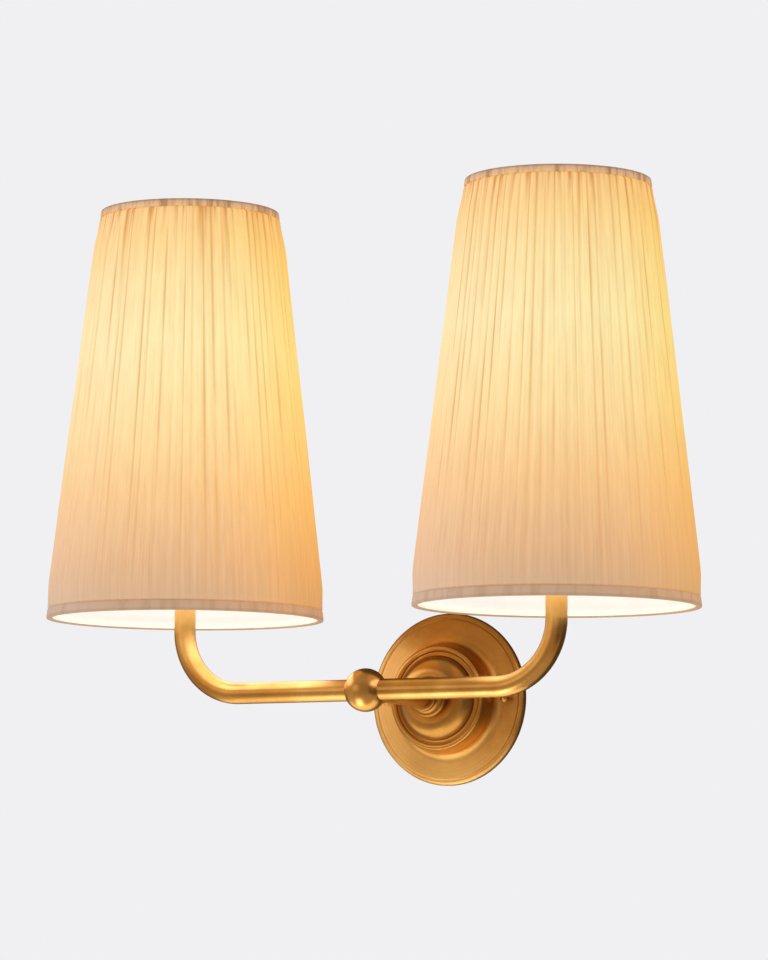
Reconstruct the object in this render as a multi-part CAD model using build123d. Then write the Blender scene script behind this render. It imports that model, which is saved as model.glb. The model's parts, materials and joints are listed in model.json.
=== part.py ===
from build123d import *
import os
from math import cos, pi, radians, sin, sqrt

# A double arm wall light: a round stepped backplate carries a stem with a ball, and two bent arms
# run out of the ball and up into two tall gathered shades.
# +X is the viewer's right, +Z is up, the wall is the plane Y = 0 and the light stands out towards -Y.
# The origin is the centre of the mounting plate on the wall.  All sizes are in millimetres.

# ---- clearances ---------------------------------------------------------------------------------
FIT_GAP = 0.05            # radial gap of a screwed, brazed or pressed fit
RUNNING_GAP = 0.3         # gap between pieces that move past each other, or that rest on each other
LAID_GAP = 0.1            # gap between a glued or laid layer and what it lies on

# ---- arms, stem and ball ------------------------------------------------------------------------
TUBE_DIA = 14.0           # brass tube of the arms and the stem
THREAD_DIA = 10.0         # running thread of the nipples inside the tubes
NIPPLE_BORE_DIA = 7.5     # wire way through the nipples
NIPPLE_GRIP = 9.0         # length of thread in each piece that a nipple joins
BALL_DIA = 28.0
SOCKET_BOTTOM = 7.5       # the tubes end this far from the ball's centre
ARM_SPAN = 274.4          # from lamp axis to lamp axis
ARM_REACH = 112.5         # from the wall to the arms' centreline
BEND_RADIUS = 42.0        # at the tube's centreline
ARM_END_HEIGHT = 62.0     # top of the upright tube above the arms' centreline

# ---- mounting plate -----------------------------------------------------------------------------
MOUNT_PLATE_DIA = 106.0
MOUNT_PLATE_THICKNESS = 1.6
WALL_SLOT_SPACING = 50.0
WALL_SLOT_LENGTH = 8.0
WALL_SLOT_WIDTH = 4.5
CABLE_HOLE_DIA = 16.0
CABLE_HOLE_HEIGHT = 20.0
STUD_SPACING = 88.9
STUD_DIA = 4.0
STUD_PROUD = 4.2          # stud above the backplate's flange
STUD_HOLE_GAP = 0.25      # round each stud in the backplate

# ---- backplate: radii from its axis, depths from the wall -----------------------------------------
BACKPLATE_DIA = 114.3
BACKPLATE_EDGE = 0.8      # straight edge at the wall
RIDGE_DIA = 107.0
RIDGE_DEPTH = 3.7
RIDGE_STEP = 0.4          # the flange lies this much lower than its ridge
RIDGE_BEVEL = 0.8
FLANGE_WALL = 1.2
FLANGE_INNER_DIA = 83.2
COVE_WIDTH = 5.2
COVE_HEIGHT = 6.2
BEAD_OUTER_DIA = 69.0
BEAD_INNER_DIA = 61.6
BEAD_FOOT_DEPTH = 16.2
BEAD_HEIGHT = 3.0
CUP_WALL = 1.6            # wall of the raised cup, at its rim
CUP_FLOOR = 1.5           # floor of the raised cup, where the stem is clamped
RIM_WALL = 2.5

# ---- bell boss and stem collar --------------------------------------------------------------------
BOSS_DIA = 61.0
BOSS_EDGE = 1.0
BOSS_FOOT_WIDTH = 2.3
BOSS_FOOT_RISE = 0.8
BOSS_TOP_DIA = 31.6
BOSS_HEIGHT = 11.8
BOSS_BULGE = 3.0          # how far the bell swells out of the straight line from foot to top
BOSS_WALL = 2.4
COLLAR_RING_DIA = 27.4
COLLAR_SEAT_DIA = 24.8
COLLAR_RING_HEIGHT = 4.6
COLLAR_NECK_DIA = 17.8
COLLAR_NECK_RISE = 3.2
COLLAR_BEAD_DIA = 19.6
COLLAR_BEAD_HEIGHT = 2.6

# ---- nuts and washers -----------------------------------------------------------------------------
CAP_NUT_DIA = 6.6
CAP_NUT_FOOT_DIA = 5.4
CAP_NUT_FOOT_HEIGHT = 0.9
CAP_NUT_POINT = 0.7       # tip above the ball
CAP_NUT_CROWN_ANGLE = 25.0  # degrees from the axis at which the ball turns into its point
CAP_NUT_HOLE_SPARE = 0.4  # blind hole past the stud's end
LOCK_NUT_FLATS = 14.0
LOCK_NUT_THICKNESS = 3.0
TAG_DIA = 15.0
TAG_THICKNESS = 0.8
TAG_LENGTH = 13.5         # from the nipple's axis to the end of the tab
TAG_WIDTH = 5.0
NIPPLE_TAIL = 1.5         # thread behind the lock nut

# ---- terminal block and leads ----------------------------------------------------------------------
BLOCK_WIDTH = 26.0
BLOCK_HEIGHT = 11.0
BLOCK_DEPTH = 9.5
BLOCK_TOP = -17.0         # top of the block below the backplate's axis
POLE_PITCH = 8.0
TERMINAL_SCREW_DIA = 3.0
TERMINAL_SCREW_LENGTH = 2.6
TERMINAL_ROW_PITCH = 5.4
BLOCK_SCREW_DIA = 2.4
BLOCK_SCREW_HEAD_DIA = 4.2
BLOCK_SCREW_HEAD_HEIGHT = 1.4
LEAD_DIA = 2.0
LEAD_OFFSET = 1.25        # each lead lies this far from the tube's axis, both ways
LEAD_TURN_RADIUS = 4.2
LEAD_INSERTION = 3.0      # lead inside the terminal block
LEAD_SPREAD_LOW = 22.0    # the leads part between these distances below their ends
LEAD_SPREAD_HIGH = 8.0
LEAD_SPREAD_RADIUS = 6.0
LIVE_TERMINAL = 2.8       # from the lamp's axis to each lead's end
NEUTRAL_TERMINAL = 6.2
EARTH_TURN_RADIUS = 2.5

# ---- lampholder, sleeve and carrier ------------------------------------------------------------------
CUP_DIA = 30.0
CUP_BASE = 2.0
CUP_SIDE_HEIGHT = 9.0
SLEEVE_DIA = 26.0
SLEEVE_WALL = 1.2
SLEEVE_LENGTH = 100.0
HOLDER_DIA = 22.0
HOLDER_WALL = 2.2
HOLDER_HUB_HEIGHT = 12.0
HOLDER_SHOULDER_DIA = 28.0
HOLDER_SHOULDER_THICKNESS = 2.0
HOLDER_NECK_DIA = 24.4
HOLDER_NECK_HEIGHT = 11.0
HOLDER_MOUTH_WALL = 2.0
HOLDER_FLOOR_THICKNESS = 2.5
SHELL_BORE_DIA = 14.2
SHELL_WALL = 0.4
SHELL_LENGTH = 22.0
SHELL_FOOT_WIDTH = 1.6
TONGUE_THICKNESS = 0.5
TONGUE_LENGTH = 9.0
TONGUE_WIDTH = 4.0
TONGUE_RISE = 2.2
RETAINER_DIA = 29.4
RETAINER_THICKNESS = 4.0
CARRIER_SHEET = 1.6
CARRIER_WIRE_DIA = 2.4
CARRIER_HEIGHT = 108.0
CARRIER_LEGS = 3
CARRIER_RING_DIA = 51.0
CARRIER_RING_BORE_DIA = 43.0

# ---- bulb ---------------------------------------------------------------------------------------------
CAP_DIA = 13.6
CAP_LENGTH = 23.0
CAP_WALL = 0.5
CAP_CONTACT_DIA = 5.0
CAP_CONTACT_HEIGHT = 2.0
BULB_DIA = 35.0
BULB_WIDEST = 30.0        # above the cap
BULB_LENGTH = 74.0        # glass above the cap
BULB_NECK_DIA = 15.0
BULB_TIP_DIA = 5.0
BULB_SHOULDER_BULGE = 2.0
BULB_TIP_BULGE = 3.6
GLASS_WALL = 0.8
FILAMENT_POST_DIA = 5.0
FILAMENT_POST_HEIGHT = 14.0
FILAMENT_STICK_DIA = 1.8
FILAMENT_STICK_LENGTH = 30.0
FILAMENT_STICKS = 4
FILAMENT_CIRCLE_DIA = 8.0
FILAMENT_DISC_DIA = 11.0
FILAMENT_DISC_THICKNESS = 1.0

# ---- shade --------------------------------------------------------------------------------------------
SHADE_RISE = 49.0         # shade's lower edge above the arms' centreline
SHADE_HEIGHT = 271.0
LINER_BOTTOM_DIA = 178.0  # outside of the hard liner
LINER_TOP_DIA = 114.2
LINER_WALL = 1.0
SHADE_WIRE_DIA = 3.0
TRIM_WALL = 1.0
TRIM_WEB = 0.8
TOP_TRIM_HEIGHT = 5.0
BOTTOM_TRIM_HEIGHT = 6.5
COVER_TUCK = 1.0          # cloth pressed flat under a trim
COVER_VALLEY = 0.9        # cloth over the liner at the bottom of a fold
COVER_CREST = 4.0         # cloth over the liner at the top of a fold
FOLD_COUNT = 72
FOLD_SWAY = 1.1           # degrees, uneven spacing of the folds
FOLD_LEAN = 1.0           # degrees, lean of the folds from bottom to top
FOLD_UNEVEN = 0.25        # share by which the folds' heights vary
TOP_GATHER = 9.0          # height over which the cloth swells out below the top trim
BOTTOM_GATHER = 7.0
GIMBAL_RING_DIA = 53.0
GIMBAL_RING_BORE_DIA = 41.0
GIMBAL_SHEET = 1.6
GIMBAL_WIRE_DIA = 2.6
GIMBAL_ARMS = 3
SHADE_TURN = {"left": 0.0, "right": 130.0}

# ---- places worked out from the sizes --------------------------------------------------------------
SIDES = {"left": -1, "right": 1}
tube_radius = TUBE_DIA / 2
thread_radius = THREAD_DIA / 2
tapped_radius = thread_radius + FIT_GAP
lead_radius = LEAD_DIA / 2
lamp_offset = ARM_SPAN / 2

flange_depth = RIDGE_DEPTH - RIDGE_STEP
cup_back = BEAD_FOOT_DEPTH - CUP_FLOOR
cup_inner_radius = BEAD_OUTER_DIA / 2 - CUP_WALL
boss_top = BEAD_FOOT_DEPTH + BOSS_HEIGHT
collar_top = boss_top + COLLAR_RING_HEIGHT + COLLAR_NECK_RISE + COLLAR_BEAD_HEIGHT
lock_nut_back = cup_back - TAG_THICKNESS - LOCK_NUT_THICKNESS
nipple_back = lock_nut_back - NIPPLE_TAIL

cup_floor_top = ARM_END_HEIGHT + CUP_BASE
sleeve_top = cup_floor_top + SLEEVE_LENGTH
shoulder_top = sleeve_top + HOLDER_SHOULDER_THICKNESS
neck_top = shoulder_top + HOLDER_NECK_HEIGHT
cap_top = neck_top - LAID_GAP
cap_bottom = cap_top - CAP_LENGTH
contact_bottom = cap_bottom - CAP_CONTACT_HEIGHT
tongue_top = contact_bottom - RUNNING_GAP
holder_floor_top = tongue_top - TONGUE_RISE
carrier_base = shoulder_top + RUNNING_GAP
carrier_top = carrier_base + CARRIER_HEIGHT
gimbal_base = carrier_top + RUNNING_GAP
shade_top = SHADE_RISE + SHADE_HEIGHT
liner_bottom = SHADE_RISE + TRIM_WEB + LAID_GAP
liner_top = shade_top - TRIM_WEB - LAID_GAP
liner_slope = (LINER_BOTTOM_DIA - LINER_TOP_DIA) / 2 / (liner_top - liner_bottom)


# ---- helpers ------------------------------------------------------------------------------------------
def turned(outline):
    """Solid turned about Z from a closed outline drawn as (radius, height)."""
    return revolve(make_face(Plane.XZ * outline), Axis.Z)


def turned_corners(*corners):
    """Solid turned about Z from the straight outline through these (radius, height) corners."""
    return turned(Polyline(*corners, close=True))


def ring(outer_radius, inner_radius, low, high):
    """Plain ring about Z."""
    return turned_corners((inner_radius, low), (outer_radius, low), (outer_radius, high), (inner_radius, high))


def rod(radius, low, high):
    """Plain round rod on Z."""
    return Pos(0, 0, low) * Cylinder(radius, high - low, align=(Align.CENTER, Align.CENTER, Align.MIN))


def out_of_wall(piece):
    """Turns a piece made about Z so that its height becomes its distance from the wall."""
    return Rot(90, 0, 0) * piece


def pipe(path, outer_radius, inner_radius=0.0):
    """Round bar or tube swept along a path of straight runs and tangent arcs."""
    start = Plane(origin=path @ 0, z_dir=path % 0)
    section = Circle(outer_radius)
    if inner_radius:
        section -= Circle(inner_radius)
    return sweep(start * section, path=path)


def at_lamp(piece, side):
    """Moves a piece made about Z onto the lamp axis of one side."""
    return Pos(SIDES[side] * lamp_offset, -ARM_REACH, 0) * piece


def liner_radius(height):
    """Outer radius of the hard liner at a height."""
    return LINER_BOTTOM_DIA / 2 - liner_slope * (height - liner_bottom)


# ---- wall unit ------------------------------------------------------------------------------------------
def mounting_plate():
    plate = rod(MOUNT_PLATE_DIA / 2, 0, MOUNT_PLATE_THICKNESS)
    slot = extrude(SlotOverall(WALL_SLOT_LENGTH, WALL_SLOT_WIDTH), MOUNT_PLATE_THICKNESS)
    for place in (-1, 1):
        plate -= Pos(place * WALL_SLOT_SPACING / 2, 0, 0) * slot
        plate -= Pos(place * STUD_SPACING / 2, 0, 0) * rod(STUD_DIA / 2 + FIT_GAP, 0, MOUNT_PLATE_THICKNESS)
    plate -= Pos(0, CABLE_HOLE_HEIGHT, 0) * rod(CABLE_HOLE_DIA / 2, 0, MOUNT_PLATE_THICKNESS)
    plate -= Pos(*block_screw_place()) * rod(BLOCK_SCREW_DIA / 2 + FIT_GAP, 0, MOUNT_PLATE_THICKNESS)
    return out_of_wall(plate)


def stud():
    return rod(STUD_DIA / 2, 0, flange_depth + STUD_PROUD)


def cap_nut():
    """Small ball nut with a foot, a slight point and a blind hole for the stud."""
    ball_radius = CAP_NUT_DIA / 2
    foot_radius = CAP_NUT_FOOT_DIA / 2
    ball_height = CAP_NUT_FOOT_HEIGHT + sqrt(ball_radius**2 - foot_radius**2)
    foot_top = (foot_radius, CAP_NUT_FOOT_HEIGHT)
    side = (ball_radius, ball_height)
    crown_angle = radians(CAP_NUT_CROWN_ANGLE)
    crown = (ball_radius * sin(crown_angle), ball_height + ball_radius * cos(crown_angle))
    outline = Polyline((0, 0), (foot_radius, 0), foot_top)
    outline += ThreePointArc(foot_top, side, crown)
    outline += Polyline(crown, (0, ball_height + ball_radius + CAP_NUT_POINT), (0, 0))
    nut = turned(outline)
    return nut - rod(STUD_DIA / 2 + FIT_GAP, 0, STUD_PROUD + CAP_NUT_HOLE_SPARE)


def at_studs(piece, depth):
    """Two copies of a piece on the two studs, its foot at a depth from the wall."""
    pair = [Pos(place * STUD_SPACING / 2, 0, depth) * piece for place in (-1, 1)]
    return [out_of_wall(one) for one in pair]


def backplate():
    """Stepped rosette: rounded rim, flat flange, cove, and a raised cup with a bead round it."""
    edge = (BACKPLATE_DIA / 2, BACKPLATE_EDGE)
    ridge = (RIDGE_DIA / 2, RIDGE_DEPTH)
    flange_outer = (RIDGE_DIA / 2 - RIDGE_BEVEL, flange_depth)
    flange_inner = (FLANGE_INNER_DIA / 2, flange_depth)
    cove_top = (FLANGE_INNER_DIA / 2 - COVE_WIDTH, flange_depth + COVE_HEIGHT)
    bead_outer = (BEAD_OUTER_DIA / 2, BEAD_FOOT_DEPTH)
    bead_crown = ((BEAD_OUTER_DIA + BEAD_INNER_DIA) / 4, BEAD_FOOT_DEPTH + BEAD_HEIGHT)
    bead_inner = (BEAD_INNER_DIA / 2, BEAD_FOOT_DEPTH)
    rim_inner_radius = BACKPLATE_DIA / 2 - RIM_WALL
    flange_back = flange_depth - FLANGE_WALL
    outline = Line((BACKPLATE_DIA / 2, 0), edge)
    outline += TangentArc(edge, ridge, tangent=(0, 1))
    outline += Polyline(ridge, flange_outer, flange_inner)
    outline += TangentArc(flange_inner, cove_top, tangent=(-1, 0))
    outline += Line(cove_top, bead_outer)
    outline += ThreePointArc(bead_outer, bead_crown, bead_inner)
    outline += Polyline(
        bead_inner,
        (tapped_radius, BEAD_FOOT_DEPTH),
        (tapped_radius, cup_back),
        (cup_inner_radius, cup_back),
        (cup_inner_radius, flange_back),
        (rim_inner_radius, flange_back),
        (rim_inner_radius, 0),
        (BACKPLATE_DIA / 2, 0),
    )
    plate = turned(outline)
    for place in (-1, 1):
        hole = rod(STUD_DIA / 2 + STUD_HOLE_GAP, 0, flange_depth + COVE_HEIGHT)
        plate -= Pos(place * STUD_SPACING / 2, 0, 0) * hole
    return out_of_wall(plate)


def bell_curve(foot, top):
    """Arc from foot to top that swells out of the straight line between them."""
    run = foot[0] - top[0]
    rise = top[1] - foot[1]
    length = sqrt(run**2 + rise**2)
    middle_radius = (foot[0] + top[0]) / 2 + BOSS_BULGE * rise / length
    middle_height = (foot[1] + top[1]) / 2 + BOSS_BULGE * run / length
    return ThreePointArc(foot, (middle_radius, middle_height), top)


def backplate_boss():
    """Bell-shaped boss, hollow from the back, clamped on the backplate's cup by the stem."""
    foot = (BOSS_DIA / 2 - BOSS_FOOT_WIDTH, BEAD_FOOT_DEPTH + BOSS_EDGE + BOSS_FOOT_RISE)
    top = (BOSS_TOP_DIA / 2, boss_top)
    inner_foot = (foot[0] - BOSS_WALL, BEAD_FOOT_DEPTH)
    inner_top = (top[0] - BOSS_WALL, boss_top - BOSS_WALL)
    rim = (BOSS_DIA / 2, BEAD_FOOT_DEPTH + BOSS_EDGE)
    outline = Line((BOSS_DIA / 2, BEAD_FOOT_DEPTH), rim)
    outline += TangentArc(rim, foot, tangent=(-1, 0))
    outline += bell_curve(foot, top)
    outline += Polyline(top, (tapped_radius, boss_top), (tapped_radius, inner_top[1]), inner_top)
    outline += bell_curve(inner_foot, inner_top)
    outline += Line(inner_foot, (BOSS_DIA / 2, BEAD_FOOT_DEPTH))
    return out_of_wall(turned(outline))


def stem_collar():
    """Turned collar between boss and stem: a fat ring, a hollow neck and a small bead."""
    ring_low = (COLLAR_SEAT_DIA / 2, boss_top)
    ring_middle = (COLLAR_RING_DIA / 2, boss_top + COLLAR_RING_HEIGHT / 2)
    ring_high = (COLLAR_SEAT_DIA / 2, boss_top + COLLAR_RING_HEIGHT)
    neck = (COLLAR_NECK_DIA / 2, ring_high[1] + COLLAR_NECK_RISE)
    bead_middle = (COLLAR_BEAD_DIA / 2, neck[1] + COLLAR_BEAD_HEIGHT / 2)
    bead_high = (COLLAR_NECK_DIA / 2, collar_top)
    outline = ThreePointArc(ring_low, ring_middle, ring_high)
    outline += TangentArc(neck, ring_high, tangent=(0, -1))
    outline += ThreePointArc(neck, bead_middle, bead_high)
    outline += Polyline(bead_high, (tapped_radius, collar_top), (tapped_radius, boss_top), ring_low)
    return out_of_wall(turned(outline))


def stem():
    return out_of_wall(ring(tube_radius, tapped_radius, collar_top, ARM_REACH - SOCKET_BOTTOM))


def centre_ball():
    """Ball with a socket for the stem and one for each arm, and a wire way between them."""
    ball = Sphere(BALL_DIA / 2)
    wire_way = rod(tapped_radius, 0, BALL_DIA)
    socket = rod(tube_radius + FIT_GAP, SOCKET_BOTTOM, BALL_DIA)
    for direction in (Rot(0, 90, 0), Rot(0, -90, 0), Rot(-90, 0, 0)):
        ball -= direction * wire_way
        ball -= direction * socket
    return Pos(0, -ARM_REACH, 0) * ball


def threaded_nipple():
    return out_of_wall(ring(thread_radius, NIPPLE_BORE_DIA / 2, nipple_back, collar_top + NIPPLE_GRIP))


def earth_tag():
    """Washer with a tab that points down for the earth lead."""
    tab = Pos(0, -TAG_LENGTH / 2, 0) * Rectangle(TAG_WIDTH, TAG_LENGTH)
    flat = Circle(TAG_DIA / 2) + tab - Circle(tapped_radius)
    return out_of_wall(Pos(0, 0, cup_back - TAG_THICKNESS) * extrude(flat, TAG_THICKNESS))


def nipple_lock_nut():
    corner_radius = LOCK_NUT_FLATS / 2 / cos(pi / 6)
    flat = RegularPolygon(corner_radius, 6) - Circle(tapped_radius)
    return out_of_wall(Pos(0, 0, lock_nut_back) * extrude(flat, LOCK_NUT_THICKNESS))


def block_screw_place():
    """Place of the terminal block's fixing screw on the mounting plate, as X and Z."""
    return POLE_PITCH / 2, BLOCK_TOP - BLOCK_HEIGHT / 2


def terminal_places():
    """Places of the clamping screws, as X and Z: two for each pole."""
    middle = BLOCK_TOP - BLOCK_HEIGHT / 2
    rows = (middle - TERMINAL_ROW_PITCH / 2, middle + TERMINAL_ROW_PITCH / 2)
    return [(pole * POLE_PITCH, row) for pole in (-1, 0, 1) for row in rows]


def pole_depth():
    """Distance of the poles' axis from the wall."""
    return MOUNT_PLATE_THICKNESS + LAID_GAP + BLOCK_DEPTH / 2


def terminal_block():
    """Three-pole block with lead ways from the top, screw wells and a hole for its fixing screw."""
    back = MOUNT_PLATE_THICKNESS + LAID_GAP
    front = back + BLOCK_DEPTH
    block = Pos(0, BLOCK_TOP - BLOCK_HEIGHT / 2, (back + front) / 2) * Box(BLOCK_WIDTH, BLOCK_HEIGHT, BLOCK_DEPTH)
    for x, z in terminal_places():
        well = rod(TERMINAL_SCREW_DIA / 2 + FIT_GAP, front - TERMINAL_SCREW_LENGTH, front)
        block -= Pos(x, z, 0) * well
    x, z = block_screw_place()
    block -= Pos(x, z, 0) * rod(BLOCK_SCREW_DIA / 2 + FIT_GAP, back, front)
    block -= Pos(x, z, 0) * rod(BLOCK_SCREW_HEAD_DIA / 2 + FIT_GAP, front - BLOCK_SCREW_HEAD_HEIGHT, front)
    block = out_of_wall(block)
    entries = [lead_entry(side, kind) for side in SIDES for kind in LEAD_POLES] + [0]
    for x in entries:
        way = rod(lead_radius + FIT_GAP, BLOCK_TOP - LEAD_INSERTION - LAID_GAP, BLOCK_TOP)
        block -= Pos(x, -pole_depth(), 0) * way
    return block


def terminal_screws():
    front = MOUNT_PLATE_THICKNESS + LAID_GAP + BLOCK_DEPTH
    screw = rod(TERMINAL_SCREW_DIA / 2, front - TERMINAL_SCREW_LENGTH, front - LAID_GAP)
    return [out_of_wall(Pos(x, z, 0) * screw) for x, z in terminal_places()]


def terminal_block_screw():
    front = MOUNT_PLATE_THICKNESS + LAID_GAP + BLOCK_DEPTH
    screw = rod(BLOCK_SCREW_DIA / 2, 0, front - LAID_GAP)
    screw += rod(BLOCK_SCREW_HEAD_DIA / 2, front - BLOCK_SCREW_HEAD_HEIGHT, front - LAID_GAP)
    return out_of_wall(Pos(*block_screw_place()) * screw)


# ---- leads -----------------------------------------------------------------------------------------------
LEAD_POLES = {"live": -1, "neutral": 1}      # pole of the terminal block that each lead comes from
LEAD_LEVELS = {"left": 1, "right": -1}       # the left lamp's leads lie above the right lamp's


def lead_entry(side, kind):
    """X place at which a lead enters the block: the left lamp's leads are the outer ones."""
    return LEAD_POLES[kind] * (POLE_PITCH + LEAD_LEVELS[side] * LEAD_OFFSET)


def lead_end(side, kind):
    """X and Y of a lead's end in the lampholder, from the lamp's axis."""
    spread = {"live": LIVE_TERMINAL, "neutral": NEUTRAL_TERMINAL}[kind]
    return -SIDES[side] * LEAD_LEVELS[side] * LEAD_OFFSET, SIDES[side] * LEAD_POLES[kind] * spread


def lead(side, kind):
    """Lead from the block through nipple, stem, ball, arm and holder to its contact."""
    hand = SIDES[side]
    pole = LEAD_POLES[kind]
    level = LEAD_LEVELS[side] * LEAD_OFFSET
    depth = -pole_depth()
    entry_x = lead_entry(side, kind)
    stem_x = pole * LEAD_OFFSET
    arm_y = -ARM_REACH + hand * pole * LEAD_OFFSET
    lamp_x = hand * (lamp_offset - level)
    end_y = -ARM_REACH + lead_end(side, kind)[1]
    top = holder_floor_top - LAID_GAP
    if level > 0:
        turn = (entry_x, depth, level)
    else:
        turn = (entry_x, depth, BLOCK_TOP + LEAD_TURN_RADIUS)
    path = FilletPolyline(
        (entry_x, depth, BLOCK_TOP - LEAD_INSERTION),
        turn,
        (stem_x, depth, level),
        (stem_x, arm_y, level),
        (lamp_x, arm_y, level),
        (lamp_x, arm_y, top - LEAD_SPREAD_LOW),
        (lamp_x, end_y, top - LEAD_SPREAD_HIGH),
        (lamp_x, end_y, top),
        radius=[LEAD_TURN_RADIUS] * 3 + [BEND_RADIUS - level] + [LEAD_SPREAD_RADIUS] * 2,
    )
    return pipe(path, lead_radius)


def earth_lead():
    """Short lead from the block's middle pole to the tag behind the backplate."""
    depth = -pole_depth()
    tag_z = -TAG_LENGTH + TAG_WIDTH / 2
    path = FilletPolyline(
        (0, depth, BLOCK_TOP - LEAD_INSERTION),
        (0, depth, tag_z),
        (0, -cup_back + TAG_THICKNESS + LAID_GAP, tag_z),
        radius=EARTH_TURN_RADIUS,
    )
    return pipe(path, lead_radius)


# ---- arms and lampholders ----------------------------------------------------------------------------------
def arm(side):
    """Bent tube from the ball out along the wall and up into the shade."""
    hand = SIDES[side]
    path = FilletPolyline(
        (hand * SOCKET_BOTTOM, -ARM_REACH, 0),
        (hand * lamp_offset, -ARM_REACH, 0),
        (hand * lamp_offset, -ARM_REACH, ARM_END_HEIGHT),
        radius=BEND_RADIUS,
    )
    return pipe(path, tube_radius, tapped_radius)


def arm_nipple():
    return ring(thread_radius, NIPPLE_BORE_DIA / 2, ARM_END_HEIGHT - NIPPLE_GRIP, cup_floor_top + NIPPLE_GRIP)


def holder_cup():
    """Turned cup on the arm's end, with a rounded lower edge; the sleeve stands in it."""
    wall_inner = SLEEVE_DIA / 2 + LAID_GAP
    edge = CUP_DIA / 2 - wall_inner
    top = ARM_END_HEIGHT + CUP_SIDE_HEIGHT
    outline = Line((tapped_radius, ARM_END_HEIGHT), (CUP_DIA / 2 - edge, ARM_END_HEIGHT))
    outline += TangentArc(
        (CUP_DIA / 2 - edge, ARM_END_HEIGHT), (CUP_DIA / 2, ARM_END_HEIGHT + edge), tangent=(1, 0)
    )
    outline += Polyline(
        (CUP_DIA / 2, ARM_END_HEIGHT + edge),
        (CUP_DIA / 2, top),
        (wall_inner, top),
        (wall_inner, cup_floor_top),
        (tapped_radius, cup_floor_top),
        (tapped_radius, ARM_END_HEIGHT),
    )
    return turned(outline)


def candle_sleeve():
    return ring(SLEEVE_DIA / 2, SLEEVE_DIA / 2 - SLEEVE_WALL, cup_floor_top + LAID_GAP, sleeve_top - LAID_GAP)


def lampholder(side):
    """Tall holder: tapped hub, hollow body, contact floor, shoulder and threaded neck."""
    body_radius = HOLDER_DIA / 2
    hollow_radius = body_radius - HOLDER_WALL
    shell_seat_radius = SHELL_BORE_DIA / 2 + SHELL_WALL + FIT_GAP
    neck_radius = HOLDER_NECK_DIA / 2
    mouth_radius = neck_radius - HOLDER_MOUTH_WALL
    shell_top = holder_floor_top + SHELL_LENGTH
    hub_low = cup_floor_top + LAID_GAP
    hub_top = hub_low + HOLDER_HUB_HEIGHT
    body = turned_corners(
        (tapped_radius, hub_low),
        (body_radius, hub_low),
        (body_radius, sleeve_top),
        (HOLDER_SHOULDER_DIA / 2, sleeve_top),
        (HOLDER_SHOULDER_DIA / 2, shoulder_top),
        (neck_radius, shoulder_top),
        (neck_radius, neck_top),
        (mouth_radius, neck_top),
        (mouth_radius, shell_top),
        (shell_seat_radius, shell_top),
        (shell_seat_radius, holder_floor_top),
        (0, holder_floor_top),
        (0, holder_floor_top - HOLDER_FLOOR_THICKNESS),
        (hollow_radius, holder_floor_top - HOLDER_FLOOR_THICKNESS),
        (hollow_radius, hub_top),
        (tapped_radius, hub_top),
    )
    for kind in LEAD_POLES:
        x, y = lead_end(side, kind)
        way = rod(lead_radius + FIT_GAP, holder_floor_top - HOLDER_FLOOR_THICKNESS, holder_floor_top)
        body -= Pos(x, y, 0) * way
    return body


def screw_shell():
    """Thin threaded shell with an inward foot that rests on the holder's floor."""
    inner = SHELL_BORE_DIA / 2
    top = holder_floor_top + SHELL_LENGTH
    foot_inner = inner - SHELL_FOOT_WIDTH
    return turned_corners(
        (foot_inner, holder_floor_top),
        (inner + SHELL_WALL, holder_floor_top),
        (inner + SHELL_WALL, top),
        (inner, top),
        (inner, holder_floor_top + SHELL_WALL),
        (foot_inner, holder_floor_top + SHELL_WALL),
    )


def contact_tongue(side):
    """Springy strip over the live lead, folded up and back under the bulb's contact."""
    low = holder_floor_top
    reach = LIVE_TERMINAL + lead_radius
    foot = Polyline(
        (-reach, low),
        (reach, low),
        (reach, low + TONGUE_THICKNESS),
        (-reach + TONGUE_THICKNESS, low + TONGUE_THICKNESS),
        (-reach + TONGUE_THICKNESS, tongue_top - TONGUE_THICKNESS),
        (TONGUE_WIDTH / 2, tongue_top - TONGUE_THICKNESS),
        (TONGUE_WIDTH / 2, tongue_top),
        (-reach, tongue_top),
        close=True,
    )
    strip = extrude(make_face(Plane.YZ * foot), TONGUE_WIDTH / 2, both=True)
    return Rot(0, 0, 0 if lead_end(side, "live")[1] > 0 else 180) * strip


def carrier_retainer():
    """Ring screwed on the holder's neck above the carrier's base."""
    low = carrier_base + CARRIER_SHEET + RUNNING_GAP
    return ring(RETAINER_DIA / 2, HOLDER_NECK_DIA / 2 + FIT_GAP, low, low + RETAINER_THICKNESS)


def shade_carrier():
    """Base ring, upright legs, and the ring that the shade rests on."""
    outer = CARRIER_RING_DIA / 2
    leg_radius = (CARRIER_RING_DIA + CARRIER_RING_BORE_DIA) / 4
    base_inner = HOLDER_NECK_DIA / 2 + RUNNING_GAP
    carrier = ring(outer, base_inner, carrier_base, carrier_base + CARRIER_SHEET)
    carrier += ring(outer, CARRIER_RING_BORE_DIA / 2, carrier_top - CARRIER_SHEET, carrier_top)
    leg = Pos(leg_radius, 0, carrier_base + CARRIER_HEIGHT / 2) * Cylinder(
        CARRIER_WIRE_DIA / 2, CARRIER_HEIGHT - CARRIER_SHEET
    )
    for index in range(CARRIER_LEGS):
        carrier += Rot(0, 0, index * 360 / CARRIER_LEGS) * leg
    return carrier


# ---- bulb -----------------------------------------------------------------------------------------------------
def bulb_cap():
    """Screw cap, closed at the bottom with its raised contact."""
    inner = CAP_DIA / 2 - CAP_WALL
    cap = turned_corners(
        (0, cap_bottom),
        (CAP_DIA / 2, cap_bottom),
        (CAP_DIA / 2, cap_top),
        (inner, cap_top),
        (inner, cap_bottom + CAP_WALL),
        (0, cap_bottom + CAP_WALL),
    )
    return cap + rod(CAP_CONTACT_DIA / 2, contact_bottom, cap_bottom)


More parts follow.
